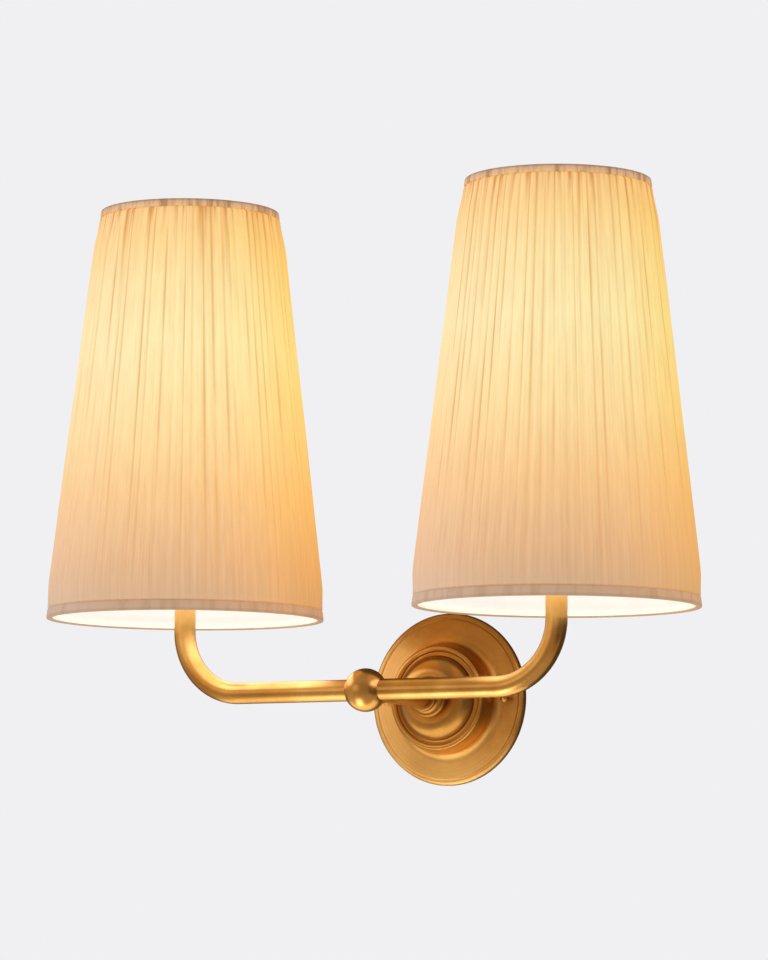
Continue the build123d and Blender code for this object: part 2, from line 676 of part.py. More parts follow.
def glass_outline(inset):
    """Closed outline of the candle-shaped glass, drawn in by a wall."""
    neck = BULB_NECK_DIA / 2 - inset
    widest = BULB_DIA / 2 - inset
    tip = BULB_TIP_DIA / 2 - inset
    low = cap_top + LAID_GAP + inset
    wide_height = cap_top + BULB_WIDEST
    tip_height = cap_top + BULB_LENGTH - inset
    shoulder = ((neck + widest) / 2 + BULB_SHOULDER_BULGE, (low + wide_height) / 2)
    flank = ((tip + widest) / 2 + BULB_TIP_BULGE, (wide_height + tip_height) / 2)
    outline = Line((0, low), (neck, low))
    outline += ThreePointArc((neck, low), shoulder, (widest, wide_height))
    outline += ThreePointArc((widest, wide_height), flank, (tip, tip_height - tip))
    outline += TangentArc((0, tip_height), (tip, tip_height - tip), tangent=(1, 0))
    outline += Line((0, tip_height), (0, low))
    return outline


def bulb_glass():
    return turned(glass_outline(0)) - turned(glass_outline(GLASS_WALL))


def bulb_filament():
    """Glass post with two small discs and a ring of light-giving sticks between them."""
    low = cap_top + LAID_GAP + GLASS_WALL
    disc_radius = FILAMENT_DISC_DIA / 2
    disc_low = low + FILAMENT_POST_HEIGHT
    stick_low = disc_low + FILAMENT_DISC_THICKNESS
    stick_top = stick_low + FILAMENT_STICK_LENGTH
    piece = rod(FILAMENT_POST_DIA / 2, low, disc_low)
    piece += rod(disc_radius, disc_low, stick_low)
    piece += rod(disc_radius, stick_top, stick_top + FILAMENT_DISC_THICKNESS)
    for index in range(FILAMENT_STICKS):
        stick = Pos(FILAMENT_CIRCLE_DIA / 2, 0, 0) * rod(FILAMENT_STICK_DIA / 2, stick_low, stick_top)
        piece += Rot(0, 0, index * 360 / FILAMENT_STICKS) * stick
    return piece


# ---- shade ------------------------------------------------------------------------------------------------------
def wire_ring(height):
    """Round wire ring just inside the liner."""
    wire_radius = SHADE_WIRE_DIA / 2
    inner = liner_radius(height) - LINER_WALL
    centre = inner - LAID_GAP - wire_radius * sqrt(1 + liner_slope**2)
    return Pos(0, 0, height) * Torus(centre, wire_radius), centre


def top_wire_height():
    return shade_top - TRIM_WEB - LAID_GAP - SHADE_WIRE_DIA / 2


def bottom_wire_height():
    return SHADE_RISE + TRIM_WEB + LAID_GAP + SHADE_WIRE_DIA / 2


def shade_top_ring():
    return wire_ring(top_wire_height())[0]


def shade_bottom_ring():
    return wire_ring(bottom_wire_height())[0]


def shade_gimbal():
    """Flat centre ring that rests on the carrier, with arms up to the shade's top ring."""
    wire_radius = GIMBAL_WIRE_DIA / 2
    ring_outer = GIMBAL_RING_DIA / 2
    height = top_wire_height()
    wire_centre = wire_ring(height)[1]
    gimbal = ring(ring_outer, GIMBAL_RING_BORE_DIA / 2, gimbal_base, gimbal_base + GIMBAL_SHEET)
    start = (ring_outer - wire_radius, 0, gimbal_base + GIMBAL_SHEET - LAID_GAP)
    arm_line = Line(start, (wire_centre, 0, height))
    arm_rod = pipe(arm_line, wire_radius)
    arm_rod -= Pos(0, 0, height) * Torus(wire_centre, SHADE_WIRE_DIA / 2 + FIT_GAP)
    arm_rod -= Pos(0, 0, gimbal_base - GIMBAL_WIRE_DIA) * Cylinder(
        LINER_BOTTOM_DIA, GIMBAL_WIRE_DIA, align=(Align.CENTER, Align.CENTER, Align.MIN)
    )
    arm_rod = arm_rod.solids().sort_by(SortBy.VOLUME)[-1]
    for index in range(GIMBAL_ARMS):
        gimbal += Rot(0, 0, (index + 1 / 2) * 360 / GIMBAL_ARMS) * arm_rod
    return gimbal


def shade_liner():
    """Hard translucent cone, open at both ends."""
    bottom = LINER_BOTTOM_DIA / 2
    top = LINER_TOP_DIA / 2
    return turned_corners(
        (bottom - LINER_WALL, liner_bottom),
        (bottom, liner_bottom),
        (top, liner_top),
        (top - LINER_WALL, liner_top),
    )


def fold_angles(level, turn):
    """Uneven places of the folds round the shade, in degrees; level is 0 at the bottom and 1 at the top."""
    angles = []
    for index in range(FOLD_COUNT):
        phase = 2 * pi * index / FOLD_COUNT
        sway = FOLD_SWAY * (sin(7 * phase) + 0.6 * sin(17 * phase + 1) + 0.4 * sin(29 * phase + 2))
        lean = FOLD_LEAN * sin(5 * phase + 2) * (level - 1 / 2)
        angles.append(turn + 360 * index / FOLD_COUNT + sway + lean)
    return angles


def fold_section(height, valley, crest, turn):
    """Closed ring of arcs at a height: each arc is one fold, its ends in the valleys."""
    level = (height - SHADE_RISE) / SHADE_HEIGHT
    angles = fold_angles(level, turn)
    angles.append(angles[0] + 360)
    low = liner_radius(height) + valley
    arcs = []
    for index in range(FOLD_COUNT):
        start, end = angles[index], angles[index + 1]
        phase = 2 * pi * index / FOLD_COUNT
        share = 1 - FOLD_UNEVEN * (1 + sin(11 * phase)) / 2
        high = low + (crest - valley) * share
        points = [(low, start), (high, (start + end) / 2), (low, end)]
        arcs.append(ThreePointArc(*[(r * cos(radians(a)), r * sin(radians(a))) for r, a in points]))
    return Pos(0, 0, height) * make_face(arcs)


def shade_cover(side):
    """Gathered cloth over the liner: its main folds, pressed flat under both trims."""
    turn = SHADE_TURN[side]
    bottom_pressed = SHADE_RISE + BOTTOM_TRIM_HEIGHT
    top_pressed = shade_top - TOP_TRIM_HEIGHT
    sections = [
        fold_section(liner_bottom, COVER_TUCK, COVER_TUCK, turn),
        fold_section(bottom_pressed, COVER_TUCK, COVER_TUCK, turn),
        fold_section(bottom_pressed + BOTTOM_GATHER, COVER_VALLEY, COVER_CREST, turn),
        fold_section(top_pressed - TOP_GATHER, COVER_VALLEY, COVER_CREST, turn),
        fold_section(top_pressed, COVER_TUCK, COVER_TUCK, turn),
        fold_section(liner_top, COVER_TUCK, COVER_TUCK, turn),
    ]
    cloth = loft(sections, ruled=True)
    hollow = turned_corners(
        (0, liner_bottom),
        (LINER_BOTTOM_DIA / 2 + LAID_GAP, liner_bottom),
        (LINER_TOP_DIA / 2 + LAID_GAP, liner_top),
        (0, liner_top),
    )
    return cloth - hollow


def trim(low, high, web_low, web_high, web_inner):
    """Band over the cloth's edge, with a web that closes over the liner's edge."""
    inner_low = liner_radius(low) + COVER_TUCK + LAID_GAP
    inner_high = liner_radius(high) + COVER_TUCK + LAID_GAP
    band = turned_corners(
        (inner_low, low), (inner_low + TRIM_WALL, low), (inner_high + TRIM_WALL, high), (inner_high, high)
    )
    web_outer_low = liner_radius(web_low) + COVER_TUCK + LAID_GAP + TRIM_WALL
    web_outer_high = liner_radius(web_high) + COVER_TUCK + LAID_GAP + TRIM_WALL
    web = turned_corners(
        (web_inner, web_low), (web_outer_low, web_low), (web_outer_high, web_high), (web_inner, web_high)
    )
    return band + web


def top_trim():
    web_inner = wire_ring(top_wire_height())[1]
    return trim(shade_top - TOP_TRIM_HEIGHT, shade_top, shade_top - TRIM_WEB, shade_top, web_inner)


def bottom_trim():
    web_inner = wire_ring(bottom_wire_height())[1]
    return trim(SHADE_RISE, SHADE_RISE + BOTTOM_TRIM_HEIGHT, SHADE_RISE, SHADE_RISE + TRIM_WEB, web_inner)


# ---- all nodes --------------------------------------------------------------------------------------------------
def wall_nodes():
    return {
        "mounting_plate": mounting_plate(),
        "plate_studs": at_studs(stud(), 0),
        "cap_nuts": at_studs(cap_nut(), flange_depth),
        "backplate": backplate(),
        "backplate_boss": backplate_boss(),
        "stem_collar": stem_collar(),
        "stem": stem(),
        "centre_ball": centre_ball(),
        "threaded_nipple": threaded_nipple(),
        "earth_tag": earth_tag(),
        "nipple_lock_nut": nipple_lock_nut(),
        "terminal_block": terminal_block(),
        "terminal_screws": terminal_screws(),
        "terminal_block_screw": terminal_block_screw(),
        "earth_lead": earth_lead(),
    }


def lamp_nodes(side):
    turn = Rot(0, 0, SHADE_TURN[side])
    on_lamp_axis = {
        "arm_nipple": arm_nipple(),
        "holder_cup": holder_cup(),
        "candle_sleeve": candle_sleeve(),
        "lampholder": lampholder(side),
        "screw_shell": screw_shell(),
        "contact_tongue": contact_tongue(side),
        "carrier_retainer": carrier_retainer(),
        "shade_carrier": shade_carrier(),
        "bulb_cap": bulb_cap(),
        "bulb_glass": bulb_glass(),
        "bulb_filament": bulb_filament(),
        "shade_top_ring": shade_top_ring(),
        "shade_bottom_ring": shade_bottom_ring(),
        "shade_gimbal": turn * shade_gimbal(),
        "shade_liner": shade_liner(),
        "shade_cover": shade_cover(side),
        "shade_top_trim": top_trim(),
        "shade_bottom_trim": bottom_trim(),
    }
    nodes = {side + "_" + name: at_lamp(piece, side) for name, piece in on_lamp_axis.items()}
    nodes[side + "_arm"] = arm(side)
    for kind in LEAD_POLES:
        nodes[side + "_" + kind + "_lead"] = lead(side, kind)
    return nodes


def main():
    os.makedirs("parts", exist_ok=True)
    nodes = wall_nodes()
    for side in SIDES:
        nodes.update(lamp_nodes(side))
    for name, piece in nodes.items():
        solids = piece if isinstance(piece, list) else piece.solids()
        export_step(Compound(children=list(solids)), "parts/" + name + ".step")


main()
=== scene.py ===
import json
from math import cos, pi, sin

import bpy
import numpy as np
from mathutils import Matrix, Vector


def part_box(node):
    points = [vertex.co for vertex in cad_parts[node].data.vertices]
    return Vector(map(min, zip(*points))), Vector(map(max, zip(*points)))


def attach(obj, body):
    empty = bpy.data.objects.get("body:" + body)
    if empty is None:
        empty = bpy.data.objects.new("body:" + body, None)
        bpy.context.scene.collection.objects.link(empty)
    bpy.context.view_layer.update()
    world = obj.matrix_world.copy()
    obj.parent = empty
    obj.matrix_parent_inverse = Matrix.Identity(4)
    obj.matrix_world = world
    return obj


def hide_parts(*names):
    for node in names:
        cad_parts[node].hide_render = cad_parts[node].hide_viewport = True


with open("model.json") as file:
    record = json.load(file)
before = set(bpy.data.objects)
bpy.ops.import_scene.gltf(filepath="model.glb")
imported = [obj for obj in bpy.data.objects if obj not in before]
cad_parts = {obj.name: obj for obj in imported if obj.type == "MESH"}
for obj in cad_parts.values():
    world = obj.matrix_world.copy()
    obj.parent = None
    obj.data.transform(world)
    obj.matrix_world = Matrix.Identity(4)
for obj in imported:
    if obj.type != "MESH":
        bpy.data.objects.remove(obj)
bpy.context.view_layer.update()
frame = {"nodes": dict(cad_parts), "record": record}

# A lit double arm wall light: aged brass, and two gathered cloth shades that glow from within.
# Metres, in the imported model's own frame: the wall is Y = 0 and the lamps stand out towards -Y.
# Colours are linear. Each shade's level runs from 0 at its lower edge to 1 at its top.

MM = 0.001
SIDES = ("left", "right")

# ---- the shade's sizes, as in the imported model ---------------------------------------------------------
SHADE_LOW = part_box("left_shade_bottom_trim")[0][2]
SHADE_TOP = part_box("left_shade_top_trim")[1][2]
LINER_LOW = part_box("left_shade_liner")[0][2]
LINER_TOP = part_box("left_shade_liner")[1][2]
LINER_BOTTOM_RADIUS = 89.0 * MM
LINER_TOP_RADIUS = 57.1 * MM
LINER_WALL = 1.0 * MM
BOTTOM_TRIM_HEIGHT = 6.5 * MM
TOP_TRIM_HEIGHT = 5.0 * MM
BOTTOM_TRIM_EDGE = SHADE_LOW + BOTTOM_TRIM_HEIGHT    # where the cloth comes out of each trim
TOP_TRIM_EDGE = SHADE_TOP - TOP_TRIM_HEIGHT
SHADE_TURN = {"left": 0.0, "right": 130.0}           # degrees, so that the two covers don't match

# ---- the gathered cloth --------------------------------------------------------------------------------
FOLD_COUNT = 72
FOLD_SWAY = np.radians(1.1)
FOLD_LEAN = np.radians(1.0)
COLUMNS_PER_FOLD = 16
CLOTH_ROWS = 56
LINING_ROWS = 20
CLOTH_THICK = 0.35 * MM
CLOTH_TOP_GAP = 0.4 * MM         # the cloth ends this far below the liner's top
CLOTH_PRESSED = 0.75 * MM        # outer face over the liner under the trims
CLOTH_RISE = 1.35 * MM           # how far the cloth rises straight after it leaves a trim
RISE_HEIGHT = 1.6 * MM
RISE_START = 0.3 * MM            # the rise starts this far inside the trim
RISE_STEPS = (-0.3 * MM, 0.3 * MM, 0.8 * MM, 1.4 * MM)    # extra rows beside each trim's edge
CLOTH_STAND = 0.65 * MM          # how much further it stands off between the trims
TOP_GATHER = 24.0 * MM           # height over which the folds swell out below the top trim
BOTTOM_GATHER = 18.0 * MM
FOLD_DEPTH = 1.25 * MM
DEPTH_MEAN = 0.72                # share of the fold depth that all folds have
DEPTH_BY_FOLD = 0.2              # how much it differs from fold to fold, and round the shade
DEPTH_BY_PLACE = 0.15
RIB_DEPTH = 0.22 * MM            # fine crinkles on the folds
RIBS_ON_A_FOLD = [2, 2, 3]
RIB_SLOPE = 1.5                  # at most, in ribs over the shade's height
GATHER_DEPTH = 0.28 * MM         # how deep a crease of strength 1 cuts in
GATHER_LIMIT = 1.5
LINING_BACK = 0.45 * MM          # how much deeper the lining lies between the trims, to clear the creases

# the short creases that run down from the top trim: widths in degrees round the shade
CREASES = 108
CREASE_JITTER = 0.8              # of the step from one to the next
CREASE_LEAN = 0.5                # at most, in radians for a metre of drop
DEEP_WIDTH = (0.6, 1.3)
DEEP_STRENGTH = (0.50, 1.25)
FINE_WIDTH = (0.3, 0.8)
FINE_STRENGTH = (0.15, 0.60)
SHORT_SHARE = 0.65
SHORT_LENGTH = (5, 12)           # in mm
LONG_LENGTH = (16, 40)

# painted shade along the cloth's lines, as a count of extra cloth thicknesses: less glow and a darker base
# colour
TUCK_WIDTH = (0.06, 0.18)        # of the fold's width
TUCK_MEAN = 0.35
TUCK_BY_FOLD = 0.36
TUCK_BY_PLACE = 0.40
TUCK_LIMITS = (0.03, 1.3)
TUCK_AT_BOTTOM = 0.18            # share of a tuck's darkness left at the lower edge
TUCK_FULL_LEVEL = 0.65
RIB_SHADE_LINE = 0.16
PRESSED_SHADE_LINE = (0.14, 2.5 * MM)  # strength, and the drop over which it fades
PRESSED_SHADE_PATCHES = (0.26, 22 * MM)

# seeds of the unevenness, and from how few to how many waves it has round the shade
CLOTH_SEED = {"left": 11, "right": 23}
WANDER_SEED = {"left": 9, "right": 10}
WANDER_ORDERS = (9, 34)
WANDER_HEIGHT = 5                # the folds wander this many times faster with height than the patches
PATCH_SEED = 77
PATCH_ORDERS = (6, 26)
TRIM_SEED = {"_bottom_band": 43, "_top_band": 40}
TRIM_WAVE_ORDERS = (11, 60)
DRIFT_WAVES = 9
DRIFT_SLOPE = 14                 # at most, in radians for a metre of height
DRIFT_STRENGTH = (0.4, 1)
DRIFT_START = 6.28               # about a full turn
DRIFT_SCALE = 0.45               # brings the sum to about -1 to 1

# ---- the trims' section --------------------------------------------------------------------------------
TRIM_COLUMNS = 360
TRIM_OVER = 1.95 * MM            # outer face over the liner
TRIM_INSIDE = 0.9 * MM           # how far the band turns in over the liner's inner face
TRIM_ROUND = 0.7 * MM            # radius at the folded edge
TRIM_LIP = 0.45 * MM             # radius at the open edge on the cloth
TRIM_BELLY = 0.10 * MM
TRIM_ON_CLOTH = 0.9 * MM         # the band's back, over the liner
TRIM_WEB = 1.3 * MM              # thickness over the shade's edge
TRIM_BACK = 0.2 * MM             # gap between the liner's inner face and the turned in cloth
TRIM_INNER_CHAMFER = 0.3 * MM
TRIM_WAVE = 0.10 * MM
TRIM_WAVE_FROM = 1.2 * MM        # only the face that stands further out than this waves

# ---- glow ----------------------------------------------------------------------------------------------
# Direction of each shade's warm side, in radians from +X towards the wall. It is fixed to the shade, and
# was chosen near the photo's angle of view, which is all that the photo shows of the glow.
WARM_SIDE = 0.50
CLOTH_OVER_LINER = 3.0 * MM      # about where the cloth's face lies, for the share across the shade

# emission that stands for the light through one layer of cloth, by level, tuned against the photo
CLOTH_GLOW = [
    (0.00, (0.290, 0.135, 0.055)),
    (0.12, (0.455, 0.210, 0.064)),
    (0.28, (0.610, 0.330, 0.090)),
    (0.45, (0.675, 0.480, 0.175)),
    (0.65, (0.670, 0.565, 0.250)),
    (0.80, (0.660, 0.510, 0.195)),
    (0.92, (0.665, 0.425, 0.105)),
    (1.00, (0.680, 0.385, 0.085)),
]
# tint of that emission across the shade, from its pale side to its warm side
SIDE_TINT = [
    (0.00, (0.96, 0.94, 1.00)),
    (0.35, (1.00, 1.00, 1.00)),
    (0.50, (1.00, 1.00, 1.00)),
    (0.80, (1.04, 1.04, 0.96)),
    (1.00, (1.04, 0.93, 0.50)),
]
TRIM_GLOW = [(0.0, (0.23, 0.110, 0.050)), (1.0, (0.37, 0.175, 0.060))]
LINER_GLOW = [
    (0.00, (0.55, 0.55, 0.52)),
    (0.10, (0.66, 0.64, 0.58)),
    (0.25, (0.60, 0.53, 0.41)),
    (0.60, (0.42, 0.35, 0.25)),
    (1.00, (0.26, 0.21, 0.14)),
]
BULB_GLOW = [(0.0, (0.95, 0.66, 0.36)), (0.4, (1.00, 0.86, 0.62)), (1.0, (1.00, 0.80, 0.52))]
BULB_GLOW_HEIGHTS = (177.0 * MM, 251.0 * MM)    # the bulb's neck and tip

# ---- aged brass ----------------------------------------------------------------------------------------
BRASS_TONES = [(0.0, (0.640, 0.320, 0.072)), (0.5, (0.840, 0.475, 0.135)), (1.0, (0.960, 0.600, 0.210))]
# dark patina in the rosette's grooves, and painted shade at its outer rim, as (distance from its axis in
# metres, share)
ROSETTE_PATINA_AND_SHADE = [
    (0.0080, 0.60), (0.0100, 0.10), (0.0122, 0.75), (0.0135, 0.10), (0.0156, 0.60), (0.0175, 0.08),
    (0.0280, 0.02), (0.0306, 0.45), (0.0316, 0.05), (0.0335, 0.02), (0.0347, 0.35), (0.0365, 0.20),
    (0.0385, 0.10), (0.0430, 0.00), (0.0520, 0.02), (0.0528, 0.60), (0.0538, 0.08), (0.0572, 0.80),
]
ROSETTE_RADIUS = 60.0 * MM
# Y over which the finish changes on the way to the wall
STEM_TO_COLLAR = (-42.0 * MM, -39.0 * MM)
COLLAR_TO_BOSS = (-34.0 * MM, -30.0 * MM)
RINGS_TO_FLANGE = (-7.5 * MM, -4.0 * MM)
GROOVE_FADE = (-35.0 * MM, -5.0 * MM)    # Z where the grooves lighten downwards, as painted light from below

# ---- camera, fitted to the photo -----------------------------------------------------------------------
CAMERA_SIDE = 0.500162           # radians to the right of straight in front
CAMERA_DISTANCE = 2.89897
CAMERA_HEIGHT = -0.16773
CAMERA_YAW = 0.015458
CAMERA_PITCH = 0.107841
CAMERA_ROLL = 0.007681
CAMERA_LENS = 164.01


# ---- shapes of the shade -------------------------------------------------------------------------------
def smoothstep(x):
    """Eased ramp: 0 below 0, 1 above 1 and 3x^2 - 2x^3 between."""
    x = np.clip(x, 0, 1)
    return x * x * (3 - 2 * x)


def liner_radius(height):
    """Outer radius of the hard liner at a height: a straight cone."""
    share = (height - LINER_LOW) / (LINER_TOP - LINER_LOW)
    return LINER_BOTTOM_RADIUS + (LINER_TOP_RADIUS - LINER_BOTTOM_RADIUS) * share


def lamp_axis(side):
    """X and Y of a lamp's axis: the middle of its bulb."""
    low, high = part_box(side + "_bulb_glass")
    return (low[0] + high[0]) / 2, (low[1] + high[1]) / 2


def drift(turn, height, seed, low, high):
    """Smooth unevenness that closes round the shade and drifts with height: a seeded sum of
    a_k sin(k turn + b_k height + c_k), k from low to high, about -1 to 1."""
    chance = np.random.RandomState(seed)
    total = np.zeros(np.broadcast(turn, height).shape)
    for _ in range(DRIFT_WAVES):
        order = chance.randint(low, high)
        slope = chance.uniform(-DRIFT_SLOPE, DRIFT_SLOPE)
        strength = chance.uniform(*DRIFT_STRENGTH)
        start = chance.uniform(0, DRIFT_START)
        total = total + strength * np.sin(order * turn + slope * height + start)
    return total / (DRIFT_SCALE * DRIFT_WAVES)


def ring_mesh(name, points, centre):
    """Closed surface from an array of points (rows, columns, 3): the columns run round and the rows
    run round the section, and both close."""
    rows, columns = points.shape[:2]
    r, c = np.meshgrid(np.arange(rows), np.arange(columns), indexing="ij")
    r_next, c_next = (r + 1) % rows, (c + 1) % columns
    corners = [r * columns + c, r * columns + c_next, r_next * columns + c_next, r_next * columns + c]
    faces = np.stack(corners, axis=-1).reshape(-1, 4)
    mesh = bpy.data.meshes.new(name)
    placed = points.reshape(-1, 3) + np.array([centre[0], centre[1], 0])
    mesh.from_pydata(placed.tolist(), [], faces.tolist())
    mesh.polygons.foreach_set("use_smooth", np.ones(len(faces), dtype=bool))
    mesh.update()
    piece = bpy.data.objects.new(name, mesh)
    bpy.context.scene.collection.objects.link(piece)
    return piece


def keep(piece, name, values):
    """Keeps one number for each point of the mesh, for its material to read."""
    attribute = piece.data.attributes.new(name, "FLOAT", "POINT")
    attribute.data.foreach_set("value", np.ascontiguousarray(values, dtype=np.float32).ravel())


def polar(radius, turn, height):
    """Points from radius, turn in radians and height arrays."""
    radius, turn, height = np.broadcast_arrays(radius, turn, height)
    return np.stack([radius * np.cos(turn), radius * np.sin(turn), height], axis=-1)


def turned(points, angle):
    """Points turned round the Z axis: x cos - y sin, x sin + y cos."""
    x, y, z = points[..., 0], points[..., 1], points[..., 2]
    return np.stack([x * cos(angle) - y * sin(angle), x * sin(angle) + y * cos(angle), z], axis=-1)


def fold_edges(level):
    """Turn of each fold's edge, in radians, for a column of levels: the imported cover's own uneven spacing,
    sway + lean (level - 1/2)."""
    phase = 2 * pi * np.arange(FOLD_COUNT) / FOLD_COUNT
    sway = FOLD_SWAY * (np.sin(7 * phase) + 0.6 * np.sin(17 * phase + 1) + 0.4 * np.sin(29 * phase + 2))
    lean = FOLD_LEAN * np.sin(5 * phase + 2) * (level - 0.5)
    edges = phase + sway + lean
    return np.concatenate([edges, edges[:, :1] + 2 * pi], axis=1)


def cloth_grid():
    """Rows and columns of one cover: heights and levels as columns of numbers, the turn of every point, and
    by column the share across its fold (0 to 1) and the fold's number."""
    low = LINER_LOW
    top = LINER_TOP - CLOTH_TOP_GAP
    heights = low + (top - low) * np.linspace(0, 1, CLOTH_ROWS)
    steps = np.array(RISE_STEPS)
    heights = np.sort(np.concatenate([heights, BOTTOM_TRIM_EDGE + steps, TOP_TRIM_EDGE - steps]))[:, None]
    level = (heights - SHADE_LOW) / (SHADE_TOP - SHADE_LOW)
    edges = fold_edges(level)
    share = np.arange(COLUMNS_PER_FOLD) / COLUMNS_PER_FOLD
    turn = edges[:, :-1, None] + (edges[:, 1:] - edges[:, :-1])[:, :, None] * share
    turn = turn.reshape(len(heights), -1)
    across = np.tile(share, FOLD_COUNT)[None, :]
    fold = np.repeat(np.arange(FOLD_COUNT), COLUMNS_PER_FOLD)[None, :]
    return heights, level, turn, across, fold


def cloth_swell(heights, over_bottom, over_top):
    """0 where the cloth is pressed under a trim, 1 where it hangs free between them; it grows over these
    heights above the bottom trim and below the top one."""
    up = smoothstep((heights - BOTTOM_TRIM_EDGE + RISE_START) / over_bottom)
    return up * smoothstep((TOP_TRIM_EDGE + RISE_START - heights) / over_top)


def creases(turn, drop, chance):
    """Gathers at the top edge: the sum of s exp(-(turn - a)^2 / w^2) exp(-drop / r), each crease with its own
    place a, strength s, width w and length r. Every second one is a deep gather."""
    total = np.zeros(turn.shape)
    for number in range(CREASES):
        deep = number % 2 == 0
        place = 2 * pi * (number + chance.uniform(-CREASE_JITTER, CREASE_JITTER)) / CREASES
        away = (turn - place + chance.uniform(-CREASE_LEAN, CREASE_LEAN) * drop + pi) % (2 * pi) - pi
        width = np.radians(chance.uniform(*(DEEP_WIDTH if deep else FINE_WIDTH)))
        short = chance.uniform() < SHORT_SHARE
        length = chance.uniform(*(SHORT_LENGTH if short else LONG_LENGTH)) * MM
        strength = chance.uniform(*(DEEP_STRENGTH if deep else FINE_STRENGTH))
        total += strength * np.exp(-(away / width) ** 2) * np.exp(-drop / length)
    return total


def tuck_shade(chance, level, across, fold, wander):
    """Painted shade: a dark line where each fold is tucked under the next, s exp(-(e / w)^2), with e the
    distance to the fold's nearer edge, and a strength s and width w of its own for each fold. It fades
    towards the bottom."""
    edge = np.minimum(across, 1 - across)
    width = chance.uniform(*TUCK_WIDTH, FOLD_COUNT)[fold]
    strength = TUCK_MEAN + TUCK_BY_FOLD * chance.uniform(-1, 1, FOLD_COUNT)[fold] + TUCK_BY_PLACE * wander
    fade = TUCK_AT_BOTTOM + (1 - TUCK_AT_BOTTOM) * smoothstep(level / TUCK_FULL_LEVEL)
    return np.clip(strength, *TUCK_LIMITS) * fade * np.exp(-(edge / width) ** 2)


def pressed_shade_below_trim(turn, heights, drop):
    """Painted shade below the top trim, where the cloth is pressed together: a line along the trim, and
    uneven patches that fade more slowly."""
    line = PRESSED_SHADE_LINE[0] * np.exp(-drop / PRESSED_SHADE_LINE[1])
    patches = np.clip(drift(turn, heights, PATCH_SEED, *PATCH_ORDERS), 0, 1)
    return line + PRESSED_SHADE_PATCHES[0] * np.exp(-drop / PRESSED_SHADE_PATCHES[1]) * patches


def gathered_cover(side):
    """Thin closed cloth. Outside, radius = liner + pressed + rise q(z) + swell(z) [stand + depth_i(z) arch(t)
    + ribs(t, z)] - gather q(z) min(creases, limit), where t runs 0 to 1 across each fold, q rises beside the
    trims and arch(t) = (4 t (1 - t) + sin^2(pi t)) / 2. Inside, the same without folds, ribs and creases,
    less the cloth's thickness and, between the trims, a little more to clear the creases."""
    chance = np.random.RandomState(CLOTH_SEED[side])
    heights, level, turn, across, fold = cloth_grid()
    wander = drift(turn, heights * WANDER_HEIGHT, WANDER_SEED[side], *WANDER_ORDERS)
    by_fold = chance.uniform(-1, 1, FOLD_COUNT)[fold]
    depth = FOLD_DEPTH * (DEPTH_MEAN + DEPTH_BY_FOLD * by_fold + DEPTH_BY_PLACE * wander)
    arch = (4 * across * (1 - across) + np.sin(pi * across) ** 2) / 2
    rib_count = chance.choice(RIBS_ON_A_FOLD, FOLD_COUNT)[fold]
    rib_start = chance.uniform(0, 1, FOLD_COUNT)[fold]
    rib_slope = chance.uniform(-RIB_SLOPE, RIB_SLOPE, FOLD_COUNT)[fold]
    rib_wave = np.sin(2 * pi * (rib_count * across + rib_start + rib_slope * level))
    ribs = RIB_DEPTH * rib_wave * np.sin(pi * across)
    drop = np.clip(TOP_TRIM_EDGE - heights, 0, 1)
    gathers = creases(turn, drop, chance)
    quick = cloth_swell(heights, RISE_HEIGHT, RISE_HEIGHT)
    slow = cloth_swell(heights, BOTTOM_GATHER, TOP_GATHER)
    middle = liner_radius(heights) + CLOTH_PRESSED + CLOTH_RISE * quick + CLOTH_STAND * slow
    outer = middle + slow * (depth * arch + ribs)
    outer = outer - GATHER_DEPTH * quick * np.minimum(gathers, GATHER_LIMIT)
    last = len(heights) - 1
    rows = np.unique(np.round(last * smoothstep(np.linspace(0, 1, LINING_ROWS))).astype(int))[::-1]
    lining = middle[rows] - CLOTH_THICK - LINING_BACK * quick[rows]
    points = np.concatenate([polar(outer, turn, heights), polar(lining, turn[rows], heights[rows])])
    piece = ring_mesh(side + "_gathered_cover", turned(points, np.radians(SHADE_TURN[side])), lamp_axis(side))
    # painted shade, kept for each point as a count of extra cloth thicknesses: dark lines in the rib valleys,
    # at the tucked fold edges, in the creases and below the top trim
    rib_shade_lines = RIB_SHADE_LINE * np.clip(-rib_wave, 0, 1) * np.sin(pi * across) * (0.6 + 0.4 * wander)
    layers_and_shade = tuck_shade(chance, level, across, fold, wander) + rib_shade_lines
    layers_and_shade = layers_and_shade + gathers + pressed_shade_below_trim(turn, heights, drop)
    keep(piece, "layers_and_shade", np.concatenate([layers_and_shade, np.zeros((len(rows), turn.shape[1]))]))
    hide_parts(side + "_shade_cover")
    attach(piece, side + "_shade")
    return piece


def trim_section(height):
    """Section of a folded band as rows of (distance from the liner's outer face, distance from the band's
    edge): up the outer face, over the lip, back down behind it, and round the shade's edge to the inside."""
    bend = np.linspace(0, pi / 2, 6)
    outer = TRIM_OVER - TRIM_ROUND
    lip_out = TRIM_OVER - TRIM_LIP
    lip_up = height - TRIM_LIP
    behind = -LINER_WALL - TRIM_BACK
    inner = -LINER_WALL - TRIM_INSIDE
    inner_round = inner + TRIM_ROUND
    turn_in = height / 2
    section = [(outer + TRIM_ROUND * sin(b), TRIM_ROUND - TRIM_ROUND * cos(b)) for b in bend]
    section += [(TRIM_OVER + TRIM_BELLY, height / 2)]
    section += [(lip_out + TRIM_LIP * cos(b), lip_up + TRIM_LIP * sin(b)) for b in bend]
    section += [(TRIM_ON_CLOTH, lip_up), (TRIM_ON_CLOTH, TRIM_WEB)]
    section += [(behind, TRIM_WEB), (behind, turn_in), (inner, turn_in - TRIM_INNER_CHAMFER)]
    section += [(inner_round - TRIM_ROUND * sin(b), TRIM_ROUND - TRIM_ROUND * cos(b)) for b in bend[::-1]]
    return np.array(section)


